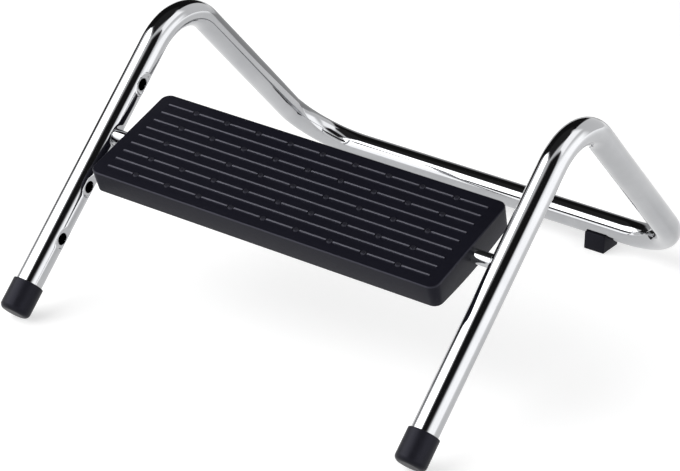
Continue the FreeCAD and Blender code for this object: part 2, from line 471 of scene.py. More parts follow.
@dataclass(frozen=True)
class MouldedPolymer:
    """Black plastic or rubber: fine grain, faint mottling and a soft gloss."""

    name: str
    colour: tuple
    mottled_colour: tuple
    gloss: float
    gloss_spread: float = 0.16
    grain_size: float = 0.7 * MM
    grain_height: float = 0.03 * MM
    specular: float = 0.3
    sheen_colour: tuple = (0.79, 0.79, 1.0, 1.0)
    mottle_scale: float = 240.0
    mottle_share: float = 0.6
    broad_scale: float = 22.0
    broad_share: float = 0.4

    def material(self) -> Material:
        """Build the material.

        Returns:
            The material.
        """
        surface = Surface(self.name)
        net, place = surface.net, surface.net.place()
        mottle = net.noise(place, self.mottle_scale, detail=4.0, roughness=0.65)
        broad = net.noise(place, self.broad_scale, detail=2.0)
        grain = net.noise(place, 1.0 / self.grain_size, detail=2.0, roughness=0.6)
        stain = mottle * self.mottle_share + broad * self.broad_share
        return surface.filled(grain, self.grain_height, {
            "Base Color": net.blend(stain, self.colour, self.mottled_colour),
            "Roughness": self.gloss + self.gloss_spread * (mottle * 0.5 + grain * 0.5),
            "Specular IOR Level": self.specular,
            "Specular Tint": self.sheen_colour})


@dataclass(frozen=True)
class WorkedSteel:
    """Plain steel of the small hidden fasteners, with fine turning marks."""

    name: str
    colour: tuple
    dull_colour: tuple
    gloss: float
    gloss_spread: float = 0.15
    stretch: tuple = (1.0, 1.0, 6.0)
    mark_scale: float = 900.0
    mark_height: float = 0.01 * MM
    patch_scale: float = 160.0

    def material(self) -> Material:
        """Build the material.

        Returns:
            The material.
        """
        surface = Surface(self.name)
        net, place = surface.net, surface.net.place()
        marks = net.noise(place * self.stretch, self.mark_scale, roughness=0.6)
        patches = net.noise(place, self.patch_scale, detail=2.0)
        return surface.filled(marks, self.mark_height, {
            "Base Color": net.blend(patches, self.colour, self.dull_colour),
            "Roughness": self.gloss + marks * self.gloss_spread,
            "Metallic": 1.0})


@dataclass(frozen=True)
class Finishes:
    """Every finish of the footrest, with the platform's two painted highlights."""

    tube: Material
    rod: Material
    platform: Material
    # ridges and edges are painted highlights: a lighter colour on the ridge crests, and a fainter
    # one on the studs and the top's rounded edge.
    ridges: Material
    edges: Material
    cap: Material
    glide: Material
    screw: Material
    ring: Material


def make_finishes() -> Finishes:
    """Build the materials once.

    Returns:
        The materials by what they cover.
    """
    finishes = {
        "tube": ChromePlating(),
        "rod": ChromePlating("drawn_chrome", (0.5, 0.505, 0.515, 1.0), (0.42, 0.425, 0.44, 1.0),
                             polish=0.07),
        "platform": MouldedPolymer(
            "grained_plastic", (0.0035, 0.0035, 0.007, 1.0), (0.0065, 0.0065, 0.011, 1.0),
            gloss=0.36, grain_height=0.05 * MM, specular=0.155),
        # Painted highlights: a lighter colour on the ridge crests, and a fainter one on the studs
        # and the top's edge, stands in for the gloss that light gives them.
        "ridges": MouldedPolymer(
            "rubbed_plastic", (0.085, 0.085, 0.105, 1.0), (0.12, 0.12, 0.14, 1.0), gloss=0.4),
        "edges": MouldedPolymer(
            "worn_plastic", (0.008, 0.008, 0.012, 1.0), (0.015, 0.015, 0.02, 1.0), gloss=0.34),
        "cap": MouldedPolymer(
            "satin_rubber", (0.005, 0.005, 0.0075, 1.0), (0.009, 0.009, 0.0125, 1.0),
            gloss=0.34, gloss_spread=0.14, grain_size=0.5 * MM, grain_height=0.02 * MM,
            specular=0.14),
        "glide": MouldedPolymer(
            "matt_rubber", (0.006, 0.006, 0.0085, 1.0), (0.01, 0.01, 0.0135, 1.0),
            gloss=0.5, gloss_spread=0.15, grain_size=0.6 * MM, specular=0.14),
        "screw": WorkedSteel("zinc_plate", (0.6, 0.6, 0.63, 1.0), (0.48, 0.49, 0.5, 1.0), 0.25),
        "ring": WorkedSteel("spring_steel", (0.28, 0.28, 0.3, 1.0), (0.2, 0.2, 0.21, 1.0), 0.3)}
    return Finishes(**{name: finish.material() for name, finish in finishes.items()})


def rounded(corners: Outline, radii: Sequence[float], steps: int = 5) -> Outline:
    """Round the corners of an open outline with arcs.

    Args:
        corners: outline as (radius, height) points.
        radii: corner radius at each point, 0 for a sharp one or an end.
        steps: straight steps in each arc.

    Returns:
        The outline with its arcs.
    """
    outline = []
    for index, (corner, radius) in enumerate(zip(corners, radii)):
        here = Vector(corner)
        if radius == 0 or index in (0, len(corners) - 1):
            outline.append(corner)
            continue
        before = (Vector(corners[index - 1]) - here).normalized()
        after = (Vector(corners[index + 1]) - here).normalized()
        half = before.angle(after) / 2
        setback = radius / math.tan(half)
        centre = here + (before + after).normalized() * (radius / math.sin(half))
        start = here + before * setback - centre
        sweep = math.copysign(math.pi - 2 * half, before.x * after.y - before.y * after.x)
        for step in range(steps + 1):
            point = centre + Matrix.Rotation(-sweep * step / steps, 2) @ start
            outline.append((point.x, point.y))
    return outline


def aimed(origin: Vector, axis: Vector) -> Matrix:
    """Matrix at a point, with its Z along an axis."""
    return Matrix.Translation(origin) @ axis.to_track_quat("Z", "Y").to_matrix().to_4x4()


def turned(name: str, outline: Outline, origin: Vector, axis: Vector,
           segments: int, closed: bool = False) -> Mesh:
    """Turn an outline about an axis into a closed mesh.

    Args:
        name: the mesh's name.
        outline: (radius, height) points, from axis to axis, or a closed ring.
        origin: point on the axis at height 0.
        axis: direction of the height.
        segments: steps round the axis.
        closed: true where the outline is a closed ring.

    Returns:
        The mesh, smooth where its faces meet gently.
    """
    place = aimed(origin, axis)
    rings = []
    for radius, height in outline:
        around = 1 if radius < SAME_POINT else segments
        turns = [2 * math.pi * index / segments for index in range(around)]
        rings.append([place @ Vector((radius * math.cos(turn), radius * math.sin(turn), height))
                      for turn in turns])
    return skinned(name, rings, closed)


def skinned(name: str, rings: Sequence[Sequence[Vector]], closed: bool = False,
            crease: float = math.radians(35)) -> Mesh:
    """Stretch a skin over rings of points.

    Args:
        name: the mesh's name.
        rings: rings of as many points each, or of one point.
        closed: true where the last ring meets the first, else both get an end face.
        crease: smallest angle of a hard edge, in radians.

    Returns:
        A closed mesh.
    """
    solid = bmesh.new()
    rows = [[solid.verts.new(point) for point in ring] for ring in rings]
    around = max(len(row) for row in rows)
    for first, second in zip(rows, rows[1:] + rows[:1] if closed else rows[1:]):
        for index in range(around):
            following = (index + 1) % around
            loop = [first[index % len(first)], first[following % len(first)],
                    second[following % len(second)], second[index % len(second)]]
            solid.faces.new(list(dict.fromkeys(loop)))
    for row in () if closed else (rows[0], rows[-1]):
        if len(row) > 1:
            solid.faces.new(row)
    return closed_mesh(name, solid, crease)


def pulled(section: Outline, start: float, length: float) -> bmesh.types.BMesh:
    """Pull a section along X.

    Args:
        section: its (y, z) points.
        start: x of its first face.
        length: how far it is pulled.

    Returns:
        The solid.
    """
    solid = bmesh.new()
    face = solid.faces.new([solid.verts.new((start, y, z)) for y, z in section])
    moved = bmesh.ops.extrude_face_region(solid, geom=[face])["geom"]
    corners = [item for item in moved if isinstance(item, bmesh.types.BMVert)]
    bmesh.ops.translate(solid, verts=corners, vec=(length, 0, 0))
    return solid


def closed_mesh(name: str, solid: bmesh.types.BMesh, crease: float = math.radians(35)) -> Mesh:
    """Point a solid's faces outwards, mark its hard edges and keep it as a mesh.

    Args:
        name: the mesh's name.
        solid: the solid, which is freed.
        crease: smallest angle of a hard edge, in radians.

    Returns:
        The mesh.
    """
    bmesh.ops.remove_doubles(solid, verts=solid.verts, dist=SAME_POINT)
    bmesh.ops.recalc_face_normals(solid, faces=solid.faces)
    if solid.calc_volume(signed=True) < 0:
        bmesh.ops.reverse_faces(solid, faces=solid.faces)
    for face in solid.faces:
        face.smooth = True
    for edge in solid.edges:
        edge.smooth = edge.calc_face_angle(math.pi) < crease
    return kept_mesh(name, solid)


def kept_mesh(name: str, solid: bmesh.types.BMesh) -> Mesh:
    """Keep a solid as a mesh.

    Args:
        name: the mesh's name.
        solid: the solid, which is freed.

    Returns:
        The mesh.
    """
    mesh = bpy.data.meshes.new(name)
    solid.to_mesh(mesh)
    solid.free()
    return mesh


def joined(name: str, meshes: Sequence[Mesh]) -> Mesh:
    """Join meshes into one and delete the loose ones.

    Args:
        name: the joined mesh's name.
        meshes: closed meshes.

    Returns:
        One mesh.
    """
    solid = bmesh.new()
    for mesh in meshes:
        solid.from_mesh(mesh)
        bpy.data.meshes.remove(mesh)
    return kept_mesh(name, solid)


def add_piece(name: str, mesh: Mesh, material: Material, body: Body, node: str) -> None:
    """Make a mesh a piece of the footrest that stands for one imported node.

    Args:
        name: the piece's name.
        mesh: its finished mesh.
        material: its finish.
        body: what it moves with.
        node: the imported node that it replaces.
    """
    if not mesh.materials:
        mesh.materials.append(material)
    piece = linked(name, mesh)
    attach(piece, body.value)
    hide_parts(node)
    log.info("%s: %d faces, on %s", name, len(mesh.polygons), body.value)


@dataclass(frozen=True)
class LegLine:
    """Axis of a front leg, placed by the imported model's axle joint."""

    axle: Vector
    lean: float = math.radians(45.9)
    spacing: float = 430.0 * MM
    axle_distance: float = 186.5 * MM

    @property
    def up(self) -> Vector:
        """Direction up the leg."""
        return Vector((0, math.sin(self.lean), math.cos(self.lean)))

    def point(self, side: Side, distance: float) -> Vector:
        """Point on a leg's axis, at a distance from the bottom of its cap."""
        start = Vector((side.value * self.spacing / 2, self.axle.y, self.axle.z))
        return start + self.up * (distance - self.axle_distance)


@dataclass
class TubeFrame:
    """One bent tube: front legs, rear legs and rear bar, with dished and punched height holes."""

    leg: LegLine
    material: Material
    diameter: float = 25.0 * MM
    wall: float = 1.5 * MM
    leg_start: float = 4.0 * MM
    leg_length: float = 335.7 * MM
    top_bend: float = 55.0 * MM
    rear_bend: float = 62.0 * MM
    glide_wrap: float = 6.0 * MM
    hole_count: int = 4
    hole_pitch: float = 53.7 * MM
    first_hole: float = 79.1 * MM
    hole_radius: float = 5.78 * MM
    dent_depth: float = 1.9 * MM
    dent_radius: float = 7.6 * MM
    dent_flare: float = 3.4 * MM
    dent_softness: float = 0.9 * MM
    bend_steps: int = 48
    leg_rings: int = 200
    sides: int = 60
    punch_sides: int = 64
    weld: float = 0.01 * MM
    crease: float = math.radians(40)

    def rear_corner(self, side: Side) -> Vector:
        """Where a rear leg's axis meets the rear bar's axis.

        Args:
            side: left or right leg.

        Returns:
            The point.
        """
        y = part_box("frame_tube")[1].y - self.diameter / 2
        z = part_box("rear_glide_right")[1].z - self.glide_wrap + self.diameter / 2
        return Vector((side.value * self.leg.spacing / 2, y, z))

    def route(self) -> Mesh:
        """Corner points of the tube's axis, each with its bend radius.

        Returns:
            A chain of edges with the point attribute "bend".
        """
        half = [[self.leg.point(side, self.leg_start), self.leg.point(side, self.leg_length),
                 self.rear_corner(side)] for side in Side]
        points = half[0] + half[1][::-1]
        bends = [0.0, self.top_bend, self.rear_bend, self.rear_bend, self.top_bend, 0.0]
        chain = bpy.data.meshes.new("tube_route")
        chain.from_pydata(points, [(index, index + 1) for index in range(len(points) - 1)], [])
        chain.attributes.new("bend", "FLOAT", "POINT").data.foreach_set("value", bends)
        return chain

    def hollow_bar(self, recipe: Recipe) -> Value:
        """Nodes that sweep the tube's wall along the filleted route.

        Args:
            recipe: the tree.

        Returns:
            A closed tube with open ends.
        """
        net = recipe.net
        bend = net.value("InputNamedAttribute", {"Name": "bend"}, "Attribute", data_type="FLOAT")
        curve = net.value("MeshToCurve", {"Mesh": recipe.source})
        steps, rings, sides, wall = recipe.given(self, "bend_steps leg_rings sides wall")
        fillet = {"Curve": curve, "Count": steps, "Radius": bend}
        bent = net.value("FilletCurve", fillet, mode="POLY")
        index = net.value("InputIndex")
        last = net.value("AttributeDomainSize", {0: bent}, "Point Count", component="CURVE") - 2
        is_leg = net.math("COMPARE", index, 0.0, 0.5) + net.math("COMPARE", index, last, 0.5)
        dense = net.value("SubdivideCurve", {"Curve": bent, "Cuts": rings * is_leg})
        bore = recipe.number("Tube radius", self.diameter / 2) - wall
        section = net.value("CurvePrimitiveCircle", {"Resolution": sides, "Radius": bore},
                            mode="RADIUS")
        inner = net.value("CurveToMesh", {"Curve": dense, "Profile Curve": section})
        outer = net.value("ExtrudeMesh", {
            "Mesh": inner, "Offset": net.value("InputNormal"), "Offset Scale": wall,
            "Individual": False}, mode="FACES")
        lining = net.value("FlipFaces", {0: inner})
        both = net.value("JoinGeometry", {0: [outer, lining]})
        return net.value("MergeByDistance", {"Geometry": both, "Distance": self.weld})

    def dished(self, recipe: Recipe, bar: Value) -> Value:
        """Nodes that press a flat with a soft rim round each height hole.

        Args:
            recipe: the tree.
            bar: the round tube.

        Returns:
            The tube with its flats.
        """
        net = recipe.net
        start = recipe.vector("First hole", self.leg.point(Side.RIGHT, self.first_hole))
        depth, radius, flare, softness, pitch = recipe.given(
            self, "dent_depth dent_radius dent_flare dent_softness hole_pitch")
        lean, = recipe.given(self.leg, "lean")
        sine, cosine = net.math("SINE", lean), net.math("COSINE", lean)
        x, y, z = net.parts(net.value("InputPosition"))
        start_x, start_y, start_z = net.parts(start)
        inwards = start_x - net.math("ABSOLUTE", x)
        along = (y - start_y) * sine + (z - start_z) * cosine
        aside = (z - start_z) * sine - (y - start_y) * cosine
        nearest = net.math("MINIMUM", net.math("ROUND", along / pitch), self.hole_count - 1.0)
        off = along - net.math("MAXIMUM", nearest, 0.0) * pitch
        away = net.math("SQRT", off * off + aside * aside)
        fade = net.eased(away, radius, radius + flare, 1.0, 0.0)
        own_radius = net.math("SQRT", inwards * inwards + aside * aside)
        pressed = net.math("SMOOTH_MIN", inwards, own_radius - depth * fade, softness * fade)
        pressed = net.math("MINIMUM", pressed, inwards)
        new_x = (start_x - pressed) * net.math("SIGN", x)
        place = net.value("CombineXYZ", {0: new_x, 1: y, 2: z})
        near = net.math("GREATER_THAN", fade, 0.0)
        return net.value("SetPosition", {"Geometry": bar, "Selection": near, "Position": place})

    def punched(self, recipe: Recipe, bar: Value) -> Value:
        """Nodes that cut the height holes through the inner walls.

        Args:
            recipe: the tree.
            bar: the dished tube.

        Returns:
            The tube with its holes.
        """
        net = recipe.net
        sides, radius, length = recipe.given(self, "punch_sides hole_radius diameter")
        punch = net.value("MeshCylinder", {"Vertices": sides, "Radius": radius, "Depth": length})
        rows = []
        for side in Side:
            inner_wall = ACROSS * (side.value * self.diameter / 2)
            rows.append(recipe.row(f"Hole {side.word}", self.hole_count,
                                   self.leg.point(side, self.first_hole) - inner_wall,
                                   self.leg.up * self.hole_pitch))
        points = net.value("JoinGeometry", {0: rows})
        cutters = recipe.placed(points, punch, (0.0, QUARTER_TURN, 0.0))
        return recipe.combined(Combine.DIFFERENCE, bar, [cutters])

    def build(self) -> None:
        """Make the tube and dress it."""
        recipe = Recipe("bent_tube")
        bar = self.punched(recipe, self.dished(recipe, self.hollow_bar(recipe)))
        mesh = recipe.run(bar, self.crease, self.material, self.route())
        add_piece("bent_tube", mesh, self.material, Body.FRAME, "frame_tube")


@dataclass
class FootCaps:
    """Moulded caps over the ends of the front legs."""

    leg: LegLine
    material: Material
    diameter: float = 29.0 * MM
    length: float = 30.0 * MM
    floor: float = 4.0 * MM
    bottom_round: float = 5.0 * MM
    rim_round: float = 0.8 * MM
    bore: float = 25.0 * MM
    round_steps: int = 10
    segments: int = 96

    def outline(self) -> Outline:
        """Cap's section from the middle of its bottom to the middle of its socket.

        Returns:
            The section, with its rounded edges.
        """
        outer, inner = self.diameter / 2, self.bore / 2
        corners = [(0, 0), (outer, 0), (outer, self.length), (inner, self.length),
                   (inner, self.floor), (0, self.floor)]
        return rounded(corners, [0, self.bottom_round, self.rim_round, 0, 0, 0], self.round_steps)

    def build(self) -> None:
        """Make both caps."""
        for side in Side:
            mesh = turned("foot_cap_" + side.word, self.outline(), self.leg.point(side, 0),
                          self.leg.up, self.segments)
            add_piece("rubber_cap_" + side.word, mesh, self.material, Body.FRAME,
                      "foot_cap_" + side.word)


@dataclass
class RearGlides:
    """Saddle blocks under the rear bar, each with one sunk screw."""

    tube: TubeFrame
    material: Material
    screw_material: Material
    from_middle: float = 126.0 * MM
    edge_round: float = 1.2 * MM
    recess_radius: float = 4.6 * MM
    recess_depth: float = 5.0 * MM
    screw_radius: float = 2.0 * MM
    head_radius: float = 4.0 * MM
    head_height: float = 2.4 * MM
    head_round: float = 1.0 * MM
    screw_tip: float = 18.5 * MM
    tip_radius: float = 0.5 * MM
    slot_length: float = 4.4 * MM
    slot_width: float = 1.0 * MM
    slot_depth: float = 1.3 * MM
    saddle_steps: int = 24
    saddle_slack: float = 1.01
    round_steps: int = 4
    segments: int = 48
    rounded_angle: float = math.radians(40)
    crease: float = math.radians(30)
    screw_crease: float = math.radians(35)

    def screw_point(self, side: Side, height: float) -> Vector:
        """Point on a screw's axis."""
        return Vector((side.value * self.from_middle, self.tube.rear_corner(side).y, height))

    def block(self, side: Side) -> Mesh:
        """Block with the saddle on top, its free edges rounded.

        Args:
            side: left or right glide.

        Returns:
            The mesh.
        """
        low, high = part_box("rear_glide_" + side.word)
        bar, radius = self.tube.rear_corner(side), self.tube.diameter / 2
        lip = math.acos((bar.z - high.z) / radius)
        turns = [lip - 2 * lip * step / self.saddle_steps for step in range(self.saddle_steps + 1)]
        saddle = [(bar.y + radius * math.sin(turn), bar.z - radius * math.cos(turn))
                  for turn in turns]
        section = [(low.y, low.z), (high.y, low.z), (high.y, high.z)] + saddle + [(low.y, high.z)]
        solid = pulled(section, low.x, high.x - low.x)
        bmesh.ops.recalc_face_normals(solid, faces=solid.faces)
        edges = [edge for edge in solid.edges if edge.calc_face_angle(0) > self.rounded_angle
                 and not self._in_saddle(edge, bar)]
        bmesh.ops.bevel(solid, geom=edges, offset=self.edge_round, segments=self.round_steps,
                        profile=0.5, affect="EDGES")
        return closed_mesh("glide_block", solid, self.crease)

    def _in_saddle(self, edge: bmesh.types.BMEdge, bar: Vector) -> bool:
        """True where an edge lies on the tube's own surface."""
        reach = [math.hypot(vertex.co.y - bar.y, vertex.co.z - bar.z) for vertex in edge.verts]
        return max(reach) < self.tube.diameter / 2 * self.saddle_slack

    def glide(self, side: Side) -> Mesh:
        """Block with its screw recess cut by nodes.

        Args:
            side: left or right glide.

        Returns:
            The finished mesh.
        """
        wide, narrow, depth = self.recess_radius, self.screw_radius, self.recess_depth
        corners = [(0, -depth), (wide, -depth), (wide, depth), (narrow, depth),
                   (narrow, self.screw_tip), (0, self.screw_tip)]
        recess = turned("recess", corners, self.screw_point(side, 0), UP, self.segments)
        recipe = Recipe("glide_" + side.word)
        cut = recipe.combined(Combine.DIFFERENCE, recipe.source, [recipe.mesh("Recess", recess)])
        return recipe.run(cut, self.crease, self.material, self.block(side))

    def screw(self, side: Side) -> Mesh:
        """Pan-headed screw with a cross slot in its head.

        Args:
            side: left or right screw.

        Returns:
            The finished mesh.
        """
        centre = self.screw_point(side, self.recess_depth)
        tip = self.screw_tip - self.recess_depth
        head, shank = self.head_radius, self.screw_radius
        corners = [(0, -self.head_height), (head, -self.head_height), (head, 0), (shank, 0),
                   (shank, tip - shank), (self.tip_radius, tip), (0, tip)]
        outline = rounded(corners, [0, self.head_round, 0, 0, 0, 0, 0])
        body = turned("screw_body", outline, centre, UP, self.segments)
        slots = bmesh.new()
        size = Matrix.Diagonal((self.slot_length, self.slot_width, 2 * self.slot_depth, 1))
        for turn in (0, QUARTER_TURN):
            spot = Matrix.Translation(centre - UP * self.head_height)
            bmesh.ops.create_cube(slots, size=1.0,
                                  matrix=spot @ Matrix.Rotation(turn, 4, "Z") @ size)
        recipe = Recipe("screw_" + side.word)
        cutter = recipe.mesh("Slots", closed_mesh("slots", slots))
        cut = recipe.combined(Combine.DIFFERENCE, recipe.source, [cutter])
        return recipe.run(cut, self.screw_crease, self.screw_material, body)

    def build(self) -> None:
        """Make both glides and the pair of screws."""
        for side in Side:
            add_piece("saddle_glide_" + side.word, self.glide(side), self.material, Body.FRAME,
                      "rear_glide_" + side.word)
        screws = joined("screws", [self.screw(side) for side in Side])
        add_piece("glide_fixing_screws", screws, self.screw_material, Body.FRAME, "glide_screws")


@dataclass
class Axle:
    """Rod through the platform with turned-down ends, and its two push-on rings."""

    leg: LegLine
    material: Material
    ring_material: Material
    diameter: float = 13.0 * MM
    spigot_diameter: float = 11.4 * MM
    spigot_length: float = 10.0 * MM
    chamfer: float = 1.0 * MM
    edge_rounds: tuple = (0.4 * MM, 0.2 * MM, 0.3 * MM, 0.3 * MM, 0)
    round_steps: int = 4
    segments: int = 72
    ring_diameter: float = 21.0 * MM
    ring_thickness: float = 1.2 * MM
    ring_dish: float = 1.0 * MM
    ring_segments: int = 64
    ring_crease: float = math.radians(35)
    tooth_count: int = 8
    slit_length: float = 8.0 * MM
    slit_height: float = 3.4 * MM
    slit_width: float = 0.8 * MM

    def rod(self) -> Mesh:
        """Straight rod with a shoulder and a chamfered spigot at each end.

        Returns:
            The finished mesh.
        """
        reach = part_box("axle_rod")[1].x
        shoulder = reach - self.spigot_length
        thick, thin = self.diameter / 2, self.spigot_diameter / 2
        half = [(thick, shoulder), (thin, shoulder), (thin, reach - self.chamfer),
                (thin - self.chamfer, reach), (0, reach)]
        corners = [(radius, -along) for radius, along in reversed(half)] + half
        outline = rounded(corners, self.edge_rounds[::-1] + self.edge_rounds, self.round_steps)
        return turned("axle", outline, self.leg.axle, ACROSS, self.segments)

    def slits(self, recipe: Recipe, centre: Vector, radius: float) -> Value:
        """Nodes for the slits that split a ring's inner edge into teeth.

        Args:
            recipe: the tree.
            centre: middle of the ring's face.
            radius: where the slits lie.

        Returns:
            The slits.
        """
        net = recipe.net
        size = Vector((self.slit_length, self.slit_height, self.slit_width))
        slit = net.value("MeshCube", {"Size": recipe.vector("Slit", size)})
        teeth, = recipe.given(self, "tooth_count")
        spots = net.value("MeshCircle", {"Vertices": teeth, "Radius": radius})
        turn = net.value("AlignRotationToVector", {
            "Vector": net.value("InputNormal")}, axis="Y")
        slits = net.value("InstanceOnPoints", {"Points": spots, "Instance": slit, "Rotation": turn})
        upright = net.value("Transform", {
            "Geometry": slits, "Translation": recipe.vector("Centre", centre),
            "Rotation": (0.0, QUARTER_TURN, 0.0)})
        return net.value("RealizeInstances", {"Geometry": upright})

    def ring(self, side: Side) -> Mesh:
        """Dished push-on ring whose inner edge is split into teeth.

        Args:
            side: left or right ring.

        Returns:
            The finished mesh.
        """
        low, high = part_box("axle_rings")
        face = high.x if side is Side.RIGHT else -low.x
        centre = Vector((side.value * face, self.leg.axle.y, self.leg.axle.z))
        outer, inner = self.ring_diameter / 2, self.diameter / 2
        lip = self.ring_thickness + self.ring_dish
        outline = [(outer, 0), (outer, self.ring_thickness), (inner + lip, self.ring_thickness),
                   (inner, lip + self.ring_thickness), (inner, lip), (inner + lip, 0)]
        body = turned("ring_body", outline, centre, ACROSS * -side.value, self.ring_segments, True)
        recipe = Recipe("ring_" + side.word)
        cut = recipe.combined(Combine.DIFFERENCE, recipe.source,
                              [self.slits(recipe, centre, inner)])
        return recipe.run(cut, self.ring_crease, self.ring_material, body)

    def build(self) -> None:
        """Make the rod and the pair of rings."""
        add_piece("cross_axle", self.rod(), self.material, Body.PLATFORM, "axle_rod")
        rings = joined("rings", [self.ring(side) for side in Side])
        add_piece("push_on_rings", rings, self.ring_material, Body.PLATFORM, "axle_rings")


@dataclass
class TreadPlatform:
    """Moulded tray that turns on the axle: ribbed tread, drafted skirt, bellied ends, hubs, webs.

    Its own coordinates have the axle at the origin and Z square to the top.
    """

    leg: LegLine
    material: Material
    # Painted highlights: a lighter colour for the ridge crests, and a fainter one for the studs and
    # the top's edge.
    rubbed_material: Material
    worn_material: Material
    width: float = 372.0 * MM
    depth: float = 117.0 * MM
    corner_round: float = 9.0 * MM
    least_round: float = 1.0 * MM
    edge_round: float = 1.2 * MM
    rim_round: float = 0.5 * MM
    tilt: float = math.radians(18.3)
    draft: float = math.tan(math.radians(3.0))
    wall: float = 2.6 * MM
    top_thickness: float = 3.0 * MM
    skirt: float = 22.6 * MM
    middle_ring: float = 0.4
    belly: float = 4.0 * MM
    top: float = 12.6 * MM
    behind_middle: float = 1.5 * MM
    hub_diameter: float = 21.0 * MM
    hub_length: float = 12.0 * MM
    hub_round: float = 0.5 * MM
    bore_radius: float = 6.52 * MM
    bore_overrun: float = 5 * MM
    web_count: int = 9
    web_clearance: float = 0.6 * MM
    long_rib_offset: float = 29.0 * MM
    long_rib_rise: float = 8.0 * MM
    rib_thickness: float = 2.0 * MM
    row_count: int = 9
    row_pitch: float = 11.4 * MM
    stud_count: int = 9
    stud_pitch: float = 35.25 * MM
    stud_gap: float = 7.0 * MM
    ridge_width: float = 2.4 * MM
    ridge_crest: float = 1.3 * MM
    ridge_height: float = 1.1 * MM
    ridge_round: float = 0.35 * MM
    ridge_slope: float = 0.7 * MM
    ridge_ends: tuple = ((0.0, 0.45), (0.25, 0.8), (1.0, 1.0))
    stud_diameter: float = 5.4 * MM
    stud_crest: float = 4.2 * MM
    stud_height: float = 1.2 * MM
    stud_round: float = 0.4 * MM
    root: float = 0.6 * MM
    # Share of a ridge's height above which its crest gets the painted highlight.
    rubbed_share: float = 0.6
    above_top: float = 0.05 * MM
    below_top: float = 0.01 * MM
    height_passes: int = 3
    corner_steps: int = 10
    long_steps: int = 24
    short_steps: int = 22
    edge_steps: int = 8
    rim_steps: int = 4
    sag_steps: int = 24
    tread_steps: int = 3
    stud_segments: int = 24
    segments: int = 72
    crease: float = math.radians(32)
    ridge_crease: float = math.radians(50)

    def lower_edge(self, y: float) -> float:
        """Height of the lower edge, which sags in an arc to the axle.

        Args:
            y: how far back.

        Returns:
            The height.
        """
        half = self.depth / 2
        front, back = -self.behind_middle - half, -self.behind_middle + half
        bulge = (y - front) * (back - y) / (-front * back)
        return self.top - self.skirt - self.belly * max(bulge, 0.0)

    def outline(self, inset: float, height: float | None, above_edge: float = 0.0) -> list[Vector]:
        """Plan outline of the platform, drafted inwards towards the bottom.

        Args:
            inset: how far it lies inside the outer face.
            height: its height, or None to follow the lower edge.
            above_edge: rise over the lower edge, where the outline follows it.

        Returns:
            Points in order round the outline.
        """
        points = []
        for signs in ((1, -1), (1, 1), (-1, 1), (-1, -1)):
            steps = self.long_steps if signs[0] == signs[1] else self.short_steps
            turn = math.atan2(signs[1], signs[0]) - math.pi / 4
            for step in range(self.corner_steps + steps):
                angle = turn + min(step / self.corner_steps, 1.0) * math.pi / 2
                slide = max(step - self.corner_steps, 0) / steps
                points.append(self._outline_point(inset, height, above_edge, signs, angle, slide))
        return points

    def _outline_point(self, inset: float, height: float | None, above_edge: float,
                       signs: tuple[int, int], angle: float, slide: float) -> Vector:
        """One point of the outline.

        Args:
            inset: how far it lies inside the outer face.
            height: its height, or None to follow the lower edge.
            above_edge: rise over the lower edge.
            signs: which corner, as the signs of X and Y.
            angle: direction of the corner's arc.
            slide: share of the way along the straight side after the corner.

        Returns:
            The point.
        """
        follows_edge = height is None
        if follows_edge:
            height = self.top - self.skirt
        # The draft moves a point with its height, and the edge's height follows the point.
        for _ in range(self.height_passes if follows_edge else 1):
            shrink = inset + self.draft * (self.top - height)
            half_width = self.width / 2 - shrink
            half_depth = self.depth / 2 - shrink
            radius = max(self.corner_round - shrink, self.least_round)
            x = signs[0] * (half_width - radius) + radius * math.cos(angle)
            y = signs[1] * (half_depth - radius) + radius * math.sin(angle)
            if signs[0] == signs[1]:
                x -= signs[0] * slide * 2 * (half_width - radius)
            else:
                y -= signs[1] * slide * 2 * (half_depth - radius)
            y -= self.behind_middle
            if follows_edge:
                height = self.lower_edge(y) + above_edge
        return Vector((x, y, height))

    @staticmethod
    def quarter(radius: float, steps: int) -> Outline:
        """Points of a rounded edge, by their distance from the flank and from the face."""
        turns = [math.pi / 2 * step / steps for step in range(steps + 1)]
        return [(radius * (1 - math.sin(turn)), radius * (1 - math.cos(turn))) for turn in turns]

    def tray(self) -> Mesh:
        """Closed tray: top, rounded edge, skirt, rim and inside, as rings of points.

        Returns:
            The mesh.
        """
        ceiling = self.top - self.top_thickness
        edge = self.quarter(self.edge_round, self.edge_steps)
        rim = self.quarter(self.rim_round, self.rim_steps)
        middle = self.top - self.edge_round - self.middle_ring * self.skirt
        rings = [self.outline(inset, self.top - drop) for inset, drop in edge]
        rings += [self.outline(0.0, middle)]
        rings += [self.outline(inset, None, rise) for rise, inset in rim]
        rings += [self.outline(self.wall - inset, None, rise) for inset, rise in rim]
        rings += [self.outline(self.wall + inset, ceiling - drop) for drop, inset in rim]
        return skinned("tray", rings)

    def web(self) -> Mesh:
        """Upright web across the tray, with the skirt's sag along its lower edge.

        Returns:
            A closed mesh.
        """
        half = self.depth / 2 - self.wall / 2 - self.draft * self.skirt
        ceiling = self.top - self.top_thickness / 2
        section = [(half - self.behind_middle, ceiling), (-half - self.behind_middle, ceiling)]
        for step in range(self.sag_steps + 1):
            y = -half - self.behind_middle + 2 * half * step / self.sag_steps
            section.append((y, self.lower_edge(y) + self.web_clearance))
        return closed_mesh("web", pulled(section, -self.rib_thickness / 2, self.rib_thickness))

    def ridge(self, length: float) -> Mesh:
        """Low tread ridge with a soft crest and sloping ends.

        Args:
            length: whole length along X.

        Returns:
            A closed mesh centred over the origin, at the height of the top.
        """
        foot, crest = self.ridge_width / 2, self.ridge_crest / 2
        side = [(foot, -self.root), (foot, 0), (crest, self.ridge_height), (0, self.ridge_height)]
        half = rounded(side, [0, 0, self.ridge_round, 0], self.tread_steps)
        section = half + [(-y, z) for y, z in reversed(half[:-1])]
